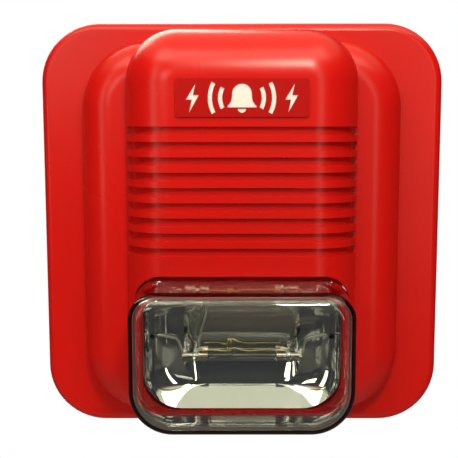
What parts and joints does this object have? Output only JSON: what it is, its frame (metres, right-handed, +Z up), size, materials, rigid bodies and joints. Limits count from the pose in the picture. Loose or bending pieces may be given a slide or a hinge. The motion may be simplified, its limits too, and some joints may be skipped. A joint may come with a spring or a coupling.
{
  "type": "horn strobe",
  "caption": "Square wall horn strobe: three-tier red cover with sound grooves, label plate and clear box lens over a flash tube, hinged on a wall plate.",
  "frame": {"origin": "centre of the wall plate's rear face, on the wall", "axes": "+Z up, +X to the viewer's right, the front faces -Y; +Y points into the wall"},
  "size_m": [0.12, 0.0525, 0.1216],
  "materials": {
    "red_cover": "satin, fine grain",
    "dark_red_base": "satin",
    "label_dark_red": "satin film",
    "white_print": "satin",
    "clear_lens": "polished clear",
    "seal_rubber": "matt",
    "mirror_chrome": "polished",
    "tube_glass": "clear glass",
    "cap_metal": "dull bright",
    "gold_wire": "bright",
    "lead_wire": "tinned",
    "board_green": "solder mask",
    "black_plastic": "satin",
    "capacitor_sleeve": "shrink sleeve",
    "coil_yellow": "taped",
    "brass": "bright",
    "steel": "zinc plated",
    "foam": "closed-cell foam",
    "dip_blue": "satin",
    "dip_white": "satin",
    "terminal_green": "satin"
  },
  "bodies": {
    "wall_base": {"mounting_plate": "dark_red_base", "hinge_pin_left": "steel", "hinge_pin_right": "steel", "terminal_block": "terminal_green", "contact_spring_1": "brass", "contact_spring_2": "brass", "contact_spring_3": "brass", "contact_spring_4": "brass"},
    "head": {"front_cover": "red_cover", "rear_cover": "dark_red_base", "label_face": "label_dark_red", "label_backing": "white_print", "lens": "clear_lens", "lens_seal": "seal_rubber", "reflector": "mirror_chrome", "flash_tube": "tube_glass", "tube_cap_left": "cap_metal", "tube_cap_right": "cap_metal", "trigger_clip_left": "cap_metal", "trigger_clip_right": "cap_metal", "trigger_wire": "gold_wire", "electrode_lead_left": "lead_wire", "electrode_lead_right": "lead_wire", "trigger_lead": "lead_wire", "circuit_board": "board_green", "driver_chip": "black_plastic", "transistor": "black_plastic", "sounder_housing": "black_plastic", "inductor": "black_plastic", "flash_capacitor": "capacitor_sleeve", "trigger_coil": "coil_yellow", "piezo_disc": "brass", "contact_pin_1": "brass", "contact_pin_2": "brass", "contact_pin_3": "brass", "contact_pin_4": "brass", "rear_cover_screw_1": "steel", "rear_cover_screw_2": "steel", "rear_cover_screw_3": "steel", "rear_cover_screw_4": "steel", "board_screw_1": "steel", "board_screw_2": "steel", "lock_nut": "steel", "sounder_seal": "foam", "dip_switch": "dip_blue"},
    "terminal_clamp_1": {"terminal_clamp_1": "steel"},
    "terminal_screw_1": {"terminal_screw_1": "steel"},
    "terminal_clamp_2": {"terminal_clamp_2": "steel"},
    "terminal_screw_2": {"terminal_screw_2": "steel"},
    "terminal_clamp_3": {"terminal_clamp_3": "steel"},
    "terminal_screw_3": {"terminal_screw_3": "steel"},
    "terminal_clamp_4": {"terminal_clamp_4": "steel"},
    "terminal_screw_4": {"terminal_screw_4": "steel"},
    "lock_washer": {"lock_washer": "steel"},
    "locking_screw": {"locking_screw": "steel"},
    "dip_slider_1": {"dip_slider_1": "dip_white"},
    "dip_slider_2": {"dip_slider_2": "dip_white"},
    "dip_slider_3": {"dip_slider_3": "dip_white"},
    "dip_slider_4": {"dip_slider_4": "dip_white"}
  },
  "joints": [
    {"name": "head_swing", "type": "hinge", "parent": "wall_base", "child": "head", "pos_m": [0, -0.0052, 0.0553], "axis": [-1, 0, 0], "range_deg": [0, 30]},
    {"name": "terminal_lift_1", "type": "slide", "parent": "wall_base", "child": "terminal_clamp_1", "axis": [0, -1, 0], "range_m": [0, 0.0015]},
    {"name": "terminal_turn_1", "type": "hinge", "parent": "terminal_clamp_1", "child": "terminal_screw_1", "pos_m": [-0.0114, -0.0063, 0.015], "axis": [0, -1, 0], "range_deg": [0, 1080]},
    {"name": "terminal_lift_2", "type": "slide", "parent": "wall_base", "child": "terminal_clamp_2", "axis": [0, -1, 0], "range_m": [0, 0.0015]},
    {"name": "terminal_turn_2", "type": "hinge", "parent": "terminal_clamp_2", "child": "terminal_screw_2", "pos_m": [-0.0038, -0.0063, 0.015], "axis": [0, -1, 0], "range_deg": [0, 1080]},
    {"name": "terminal_lift_3", "type": "slide", "parent": "wall_base", "child": "terminal_clamp_3", "axis": [0, -1, 0], "range_m": [0, 0.0015]},
    {"name": "terminal_turn_3", "type": "hinge", "parent": "terminal_clamp_3", "child": "terminal_screw_3", "pos_m": [0.0038, -0.0063, 0.015], "axis": [0, -1, 0], "range_deg": [0, 1080]},
    {"name": "terminal_lift_4", "type": "slide", "parent": "wall_base", "child": "terminal_clamp_4", "axis": [0, -1, 0], "range_m": [0, 0.0015]},
    {"name": "terminal_turn_4", "type": "hinge", "parent": "terminal_clamp_4", "child": "terminal_screw_4", "pos_m": [0.0114, -0.0063, 0.015], "axis": [0, -1, 0], "range_deg": [0, 1080]},
    {"name": "lock_back_off", "type": "slide", "parent": "head", "child": "lock_washer", "axis": [0, 0, -1], "range_m": [0, 0.0014]},
    {"name": "lock_turn", "type": "hinge", "parent": "lock_washer", "child": "locking_screw", "pos_m": [0, -0.0052, -0.0589], "axis": [0, 0, -1], "range_deg": [0, 720]},
    {"name": "dip_slide_1", "type": "slide", "parent": "head", "child": "dip_slider_1", "axis": [1, 0, 0], "range_m": [0, 0.0016]},
    {"name": "dip_slide_2", "type": "slide", "parent": "head", "child": "dip_slider_2", "axis": [1, 0, 0], "range_m": [0, 0.0016]},
    {"name": "dip_slide_3", "type": "slide", "parent": "head", "child": "dip_slider_3", "axis": [1, 0, 0], "range_m": [0, 0.0016]},
    {"name": "dip_slide_4", "type": "slide", "parent": "head", "child": "dip_slider_4", "axis": [1, 0, 0], "range_m": [0, 0.0016]}
  ],
  "couplings": [
    {"joint": "terminal_turn_1", "follows": "terminal_lift_1", "rad_per_m": 12566},
    {"joint": "terminal_turn_2", "follows": "terminal_lift_2", "rad_per_m": 12566},
    {"joint": "terminal_turn_3", "follows": "terminal_lift_3", "rad_per_m": 12566},
    {"joint": "terminal_turn_4", "follows": "terminal_lift_4", "rad_per_m": 12566},
    {"joint": "lock_turn", "follows": "lock_back_off", "rad_per_m": 8975}
  ]
}
